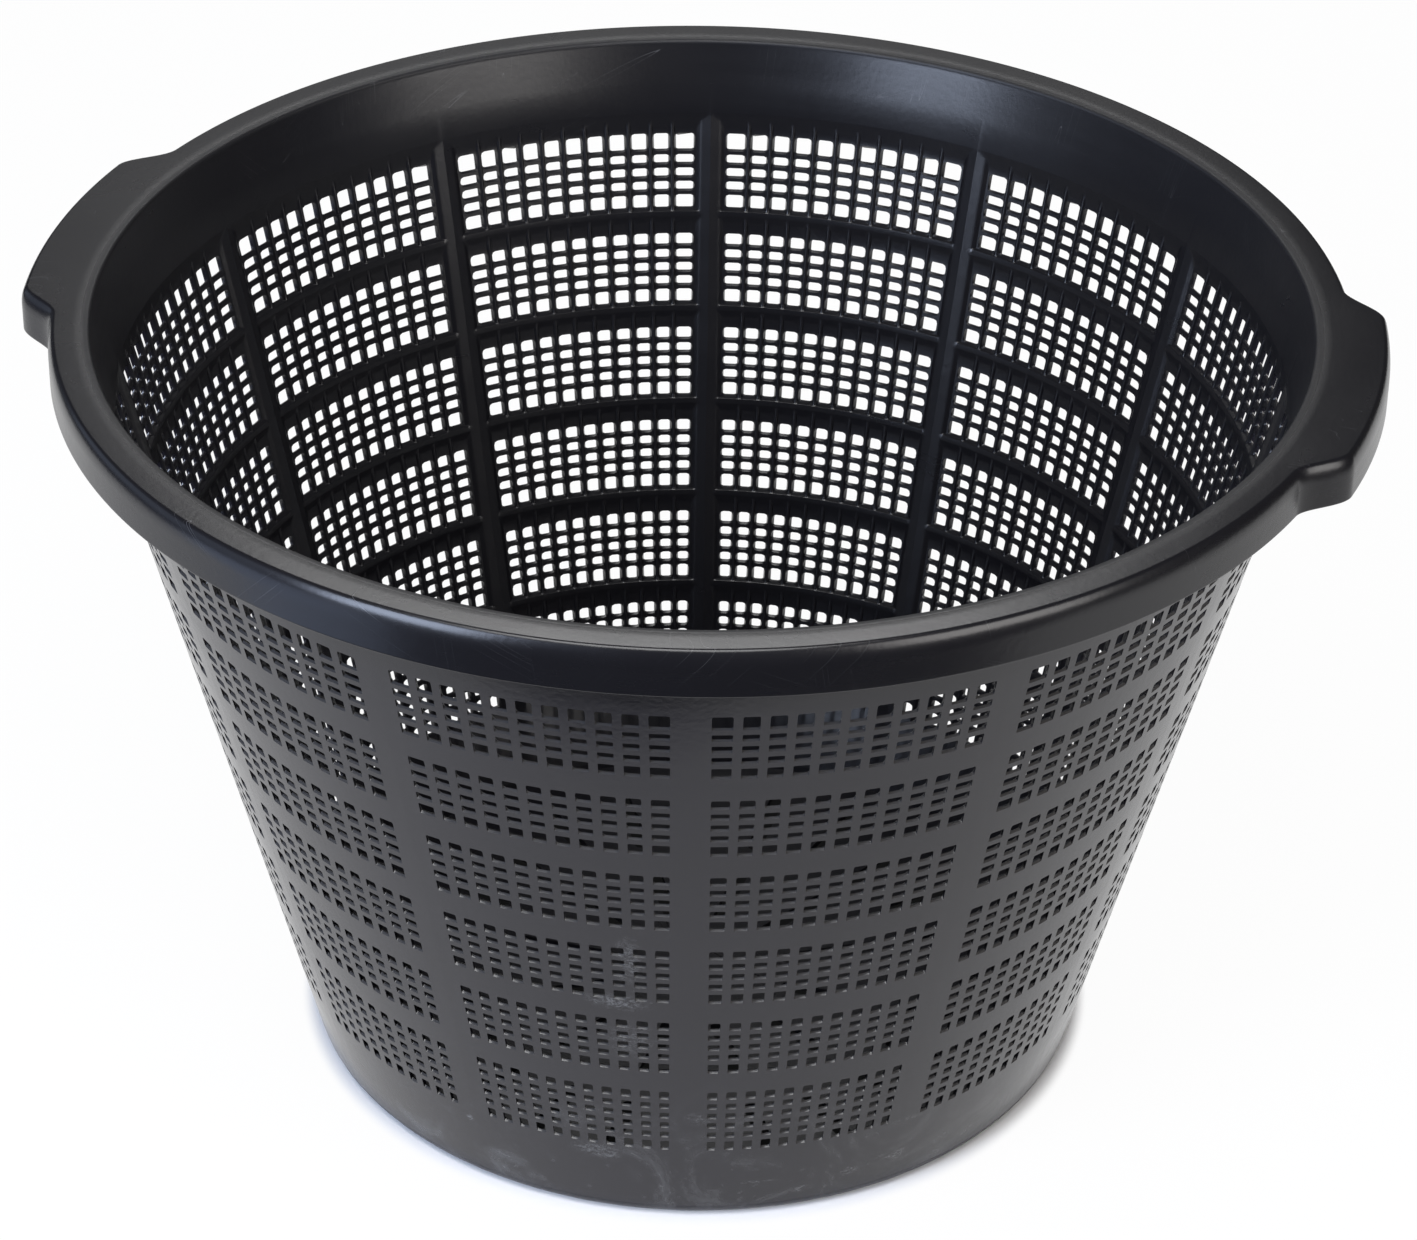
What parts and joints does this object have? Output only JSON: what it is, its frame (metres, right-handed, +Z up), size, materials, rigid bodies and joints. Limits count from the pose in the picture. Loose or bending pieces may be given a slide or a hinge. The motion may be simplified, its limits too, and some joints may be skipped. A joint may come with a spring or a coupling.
{
  "type": "pond planting basket",
  "caption": "Round tapered planting basket with a fine grille wall, a turned-over rim and two widened rim stretches as handles, for growing water plants in a garden pond.",
  "frame": {"origin": "middle of the underside, on the ground", "axes": "+Z up, +X through the middle of the right-hand handle, +Y to the back as pictured"},
  "size_m": [0.4204, 0.4, 0.2575],
  "materials": {
    "wall_plastic": "charcoal black, satin as moulded, lightly dusty outside",
    "rim_plastic": "charcoal black, smooth satin with a soft sheen"
  },
  "bodies": {
    "root": {"bay_frame_01": "wall_plastic", "bay_frame_02": "wall_plastic", "bay_frame_03": "wall_plastic", "bay_frame_04": "wall_plastic", "bay_frame_05": "wall_plastic", "bay_frame_06": "wall_plastic", "bay_frame_07": "wall_plastic", "bay_frame_08": "wall_plastic", "bay_frame_09": "wall_plastic", "bay_frame_10": "wall_plastic", "bay_frame_11": "wall_plastic", "bay_frame_12": "wall_plastic", "bay_comb_01": "wall_plastic", "bay_comb_02": "wall_plastic", "bay_comb_03": "wall_plastic", "bay_comb_04": "wall_plastic", "bay_comb_05": "wall_plastic", "bay_comb_06": "wall_plastic", "bay_comb_07": "wall_plastic", "bay_comb_08": "wall_plastic", "bay_comb_09": "wall_plastic", "bay_comb_10": "wall_plastic", "bay_comb_11": "wall_plastic", "bay_comb_12": "wall_plastic", "floor_plate": "wall_plastic", "rim_back": "rim_plastic", "rim_front": "rim_plastic", "handle_left": "rim_plastic", "handle_right": "rim_plastic"}
  },
  "joints": []
}
